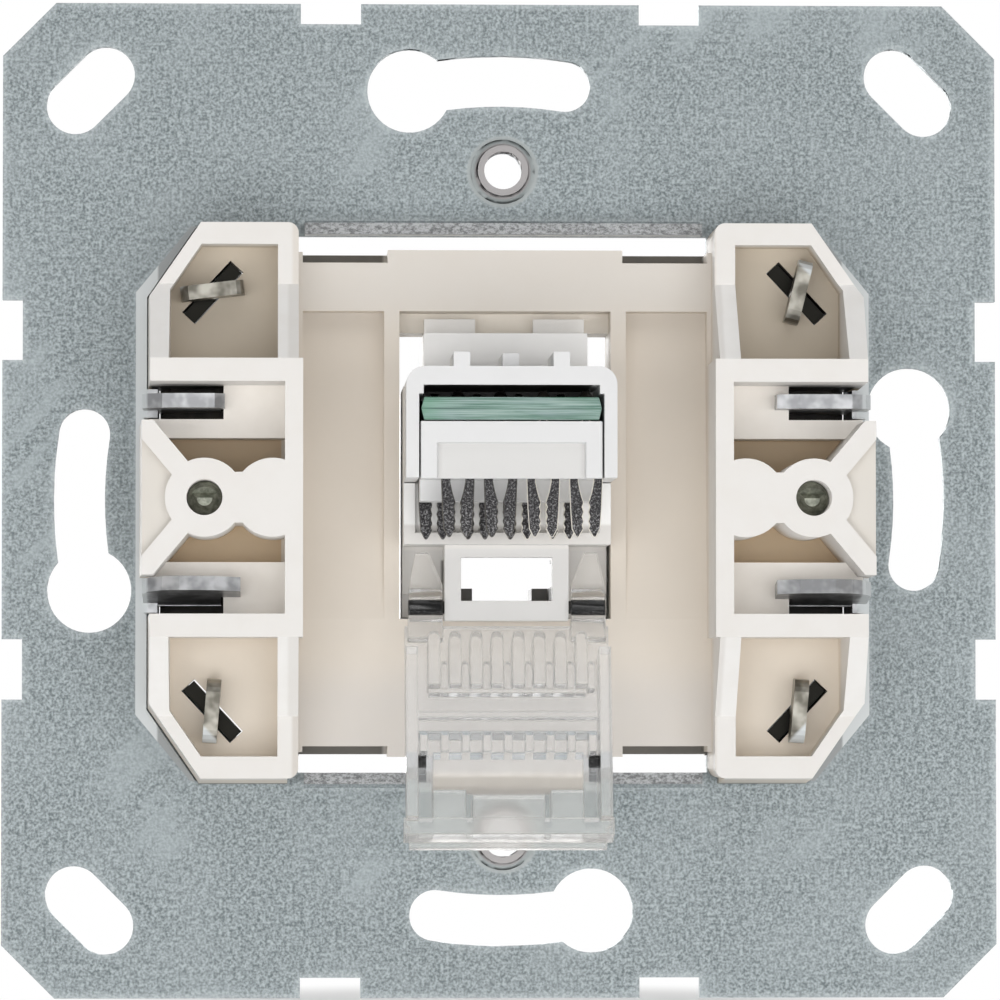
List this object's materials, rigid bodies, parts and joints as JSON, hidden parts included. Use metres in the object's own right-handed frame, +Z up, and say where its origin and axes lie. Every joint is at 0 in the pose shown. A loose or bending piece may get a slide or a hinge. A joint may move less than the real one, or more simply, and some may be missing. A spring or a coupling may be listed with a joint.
{
  "type": "data socket insert",
  "caption": "Flush-mounted network socket insert: square steel support plate, moulded carrier with pocketed boxes, and a modular jack with forked contacts and a clear hinged wire cover.",
  "frame": {"origin": "centre of the circle of box screws on the plate's rear face", "axes": "+X to the right and +Z up as seen from behind, +Y from the wall box towards the room"},
  "size_m": [0.071, 0.0275, 0.071],
  "materials": {
    "steel": "galvanised, finely speckled",
    "screw_steel": "zinc plated",
    "cream_plastic": "moulded, matt",
    "white_plastic": "moulded, matt",
    "board": "glass-fibre laminate, cut edge",
    "contact_metal": "tinned bronze",
    "gold_plate": "gold plated",
    "clear_plastic": "clear, glossy"
  },
  "bodies": {
    "insert": {"support_plate": "steel", "carrier": "cream_plastic", "carrier_screws": "screw_steel", "jack_housing": "white_plastic", "rear_shroud": "white_plastic", "circuit_board": "board", "idc_block": "white_plastic", "contact_insert": "white_plastic", "hinge_pins": "screw_steel", "idc_contact_1": "contact_metal", "idc_contact_2": "contact_metal", "idc_contact_3": "contact_metal", "idc_contact_4": "contact_metal", "idc_contact_5": "contact_metal", "idc_contact_6": "contact_metal", "idc_contact_7": "contact_metal", "idc_contact_8": "contact_metal", "port_contact_1": "gold_plate", "port_contact_2": "gold_plate", "port_contact_3": "gold_plate", "port_contact_4": "gold_plate", "port_contact_5": "gold_plate", "port_contact_6": "gold_plate", "port_contact_7": "gold_plate", "port_contact_8": "gold_plate"},
    "cover": {"wire_cover": "clear_plastic"}
  },
  "joints": [
    {"name": "cover_hinge", "type": "hinge", "parent": "insert", "child": "cover", "pos_m": [0.00018, -0.0072, -0.0078], "axis": [-1, 0, 0], "range_deg": [0, 76]}
  ]
}
